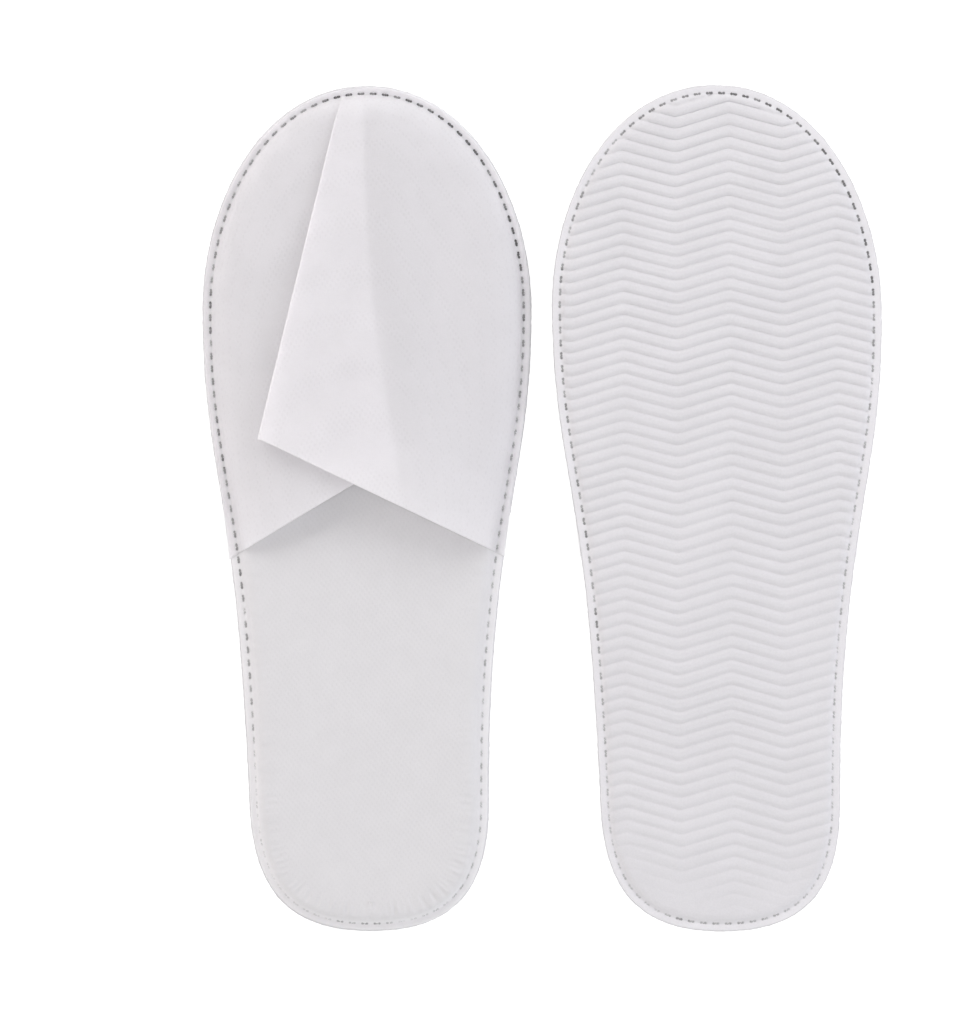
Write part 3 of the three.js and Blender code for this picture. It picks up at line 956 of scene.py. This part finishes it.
def surroundings():
    """A glowing floor and wall all round, so that the background is white from every side."""
    scene = bpy.context.scene
    material, shader = principled("floor", FLOOR_GREY, 0.9)
    shader.inputs["Emission Color"].default_value = (1, 1, 1, 1)
    shader.inputs["Emission Strength"].default_value = FLOOR_GLOW

    floor_data = bpy.data.meshes.new("floor")
    corners = [(-FLOOR_REACH, -FLOOR_REACH, 0), (FLOOR_REACH, -FLOOR_REACH, 0)]
    corners += [(FLOOR_REACH, FLOOR_REACH, 0), (-FLOOR_REACH, FLOOR_REACH, 0)]
    floor_data.from_pydata(corners, [], [(0, 1, 2, 3)])
    floor_data.materials.append(material)
    floor = bpy.data.objects.new("floor", floor_data)
    floor.location.z = -FLOOR_GAP
    scene.collection.objects.link(floor)

    wall_data = bpy.data.meshes.new("backdrop")
    turn = 2 * math.pi * np.arange(WALL_SIDES) / WALL_SIDES
    ring = WALL_RADIUS * np.column_stack([np.cos(turn), np.sin(turn)])
    corners = [(x, y, z) for z in (0, WALL_HEIGHT) for x, y in ring]
    sides = [(i, (i + 1) % WALL_SIDES) for i in range(WALL_SIDES)]
    wall_data.from_pydata(corners, [], [(i, j, WALL_SIDES + j, WALL_SIDES + i) for i, j in sides])
    wall_data.materials.append(material)
    wall = bpy.data.objects.new("backdrop", wall_data)
    scene.collection.objects.link(wall)


def stitching(slipper, name, node, side_up, material):
    """A two-ply thread all round the seam: on the surface along each stitch, down in the layers between."""
    plan = slipper.plan
    per_stitch = 20
    count = STITCHES * per_stitch
    share = np.arange(count) / count
    along = stitch_distance(share) * plan.perimeter / STITCHES
    dive = smoothstep(along, DASH / 2 - 0.3, DASH / 2 + 0.3)
    sunk = 0.4 * (1 - slipper.show(share)) ** 2
    if side_up:
        layer = np.where(np.minimum(share, 1 - share) < CORNER + 0.004, UPPER_SEAM_TOP, FOOTBED_SEAM_TOP)
        z = mix(layer - 0.02 - sunk, THREADS_MEET, dive)
    else:
        z = mix(FLANGE_UNDER + 0.16 + sunk, THREADS_MEET, dive)
    z = z + flange_wave(slipper, share, SEAM_INSET)
    inset = SEAM_INSET + 0.07 * EdgeWaves(SEED + 29, 40, 150)(share)
    xy = plan.at(share, inset)
    inward = plan.inward(share)
    turns = round(plan.perimeter / PLY_TWIST)
    sides = 6
    ring = 2 * math.pi * np.arange(sides) / sides
    i, j = np.arange(count)[:, None], np.arange(sides)[None, :]
    ahead, beside = (i + 1) % count, (j + 1) % sides
    cell = np.stack([i * sides + j, i * sides + beside, ahead * sides + beside, ahead * sides + j], -1)
    points, quads = [], []
    for ply in (0, 1):
        twist = 2 * math.pi * (share * turns + ply / 2)
        offset_in = 0.9 * PLY_RADIUS * np.cos(twist)[:, None] + PLY_RADIUS * np.cos(ring)
        offset_up = 0.8 * PLY_RADIUS * np.sin(twist)[:, None] + PLY_RADIUS * np.sin(ring)
        tube = np.empty((count, sides, 3))
        tube[:, :, :2] = xy[:, None] + inward[:, None] * offset_in[:, :, None]
        tube[:, :, 2] = z[:, None] + offset_up
        quads.append(cell.reshape(-1, 4) + ply * count * sides)
        points.append(tube.reshape(-1, 3))
    piece = build_piece(slipper, name, np.vstack(points), np.vstack(quads), [], material)
    # painted shade on the thread: darker where the stitches show most and where it dives into the layers
    tone = np.clip(slipper.show(share) * (1 - 0.25 * dive) + 0.4 * dive, 0, 1)
    note_one(piece, "tone", np.tile(np.repeat(tone, sides), 2))
    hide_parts(slipper.name(node))
    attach(piece, slipper.body)
    return piece


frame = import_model()
look_down()
lights()
surroundings()

footbed_fabric = nonwoven("footbed_fabric", FOOTBED_WHITE, HOLE_SHADE, 1.1, 0.018)
upper_fabric = nonwoven("upper_fabric", UPPER_WHITE, HOLE_SHADE, 1.25, 0.03, UPPER_SEE_THROUGH)
sole_foam = foam("sole_foam", FOAM_WHITE, HOLE_SHADE)
pad_sponge = sponge("pad_sponge", SPONGE_WHITE)
seam_thread = thread("seam_thread", THREAD_SHADE, THREAD_LIGHT)

slippers = (Slipper("standing", False, STANDING_LOFT), Slipper("turned", True, TURNED_LOFT))
puckers = settled_puckers(slippers[0].plan, STITCHES * STEPS_PER_STITCH)
for slipper in slippers:
    outsole(slipper, sole_foam)
    footbed_pad(slipper, pad_sponge)
    footbed(slipper, footbed_fabric, puckers)
    sheet = upper_sheet(slipper, upper_fabric)
    top = slipper.place([(0, 0, 9.0)])[0]
    bottom = slipper.place([(0, 0, 4.0)])[0]
    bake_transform(sheet)
    slipper.name("footbed")
    stitching(slipper, "top_stitching", "needle_thread", True, seam_thread)
    stitching(slipper, "under_stitching", "bobbin_thread", False, seam_thread)
